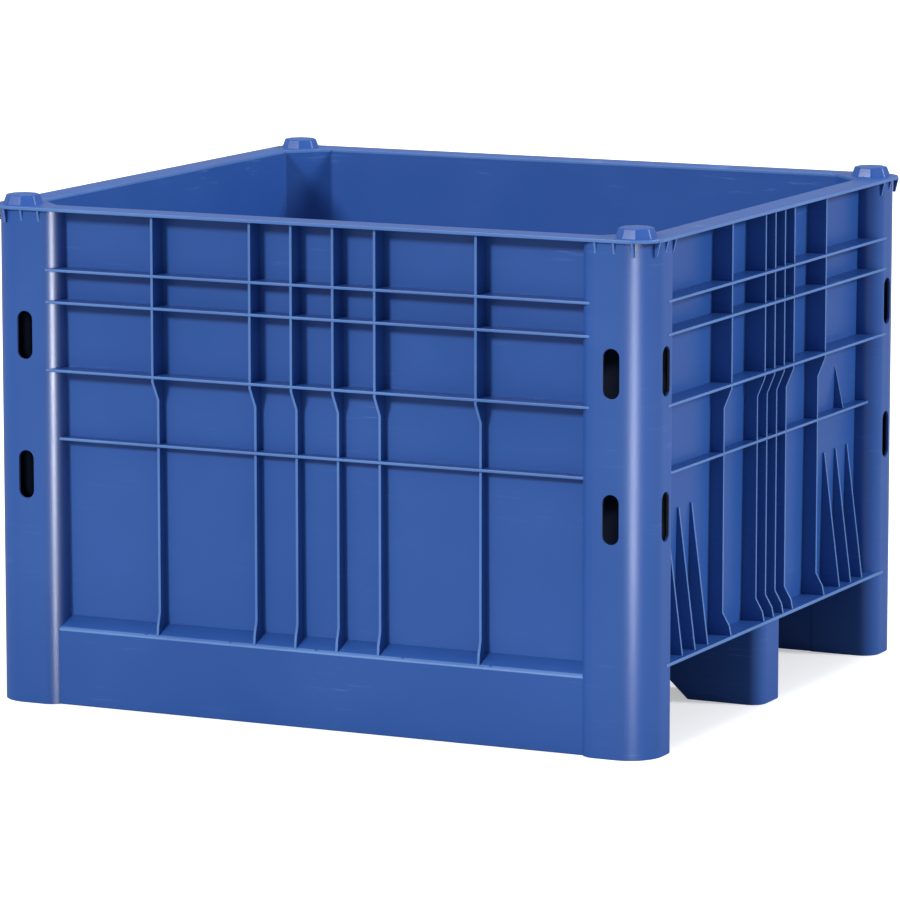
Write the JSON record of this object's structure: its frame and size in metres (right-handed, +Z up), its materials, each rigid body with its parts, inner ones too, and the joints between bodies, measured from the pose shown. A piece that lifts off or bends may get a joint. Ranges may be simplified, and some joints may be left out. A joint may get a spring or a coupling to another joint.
{
  "type": "pallet box",
  "caption": "Open-topped moulded bulk box with ribbed walls, hollow corner posts, stacking knobs and runners for forklift entry.",
  "frame": {"origin": "centre of the footprint, on the ground under the runners", "axes": "+Z up; +X along the runners, the way the forks go in; +Y across them"},
  "size_m": [1.2, 1.1, 0.846],
  "materials": {
    "blue_plastic": "satin moulded polyethylene"
  },
  "bodies": {
    "root": {"pallet_box_body": "blue_plastic"}
  },
  "joints": []
}
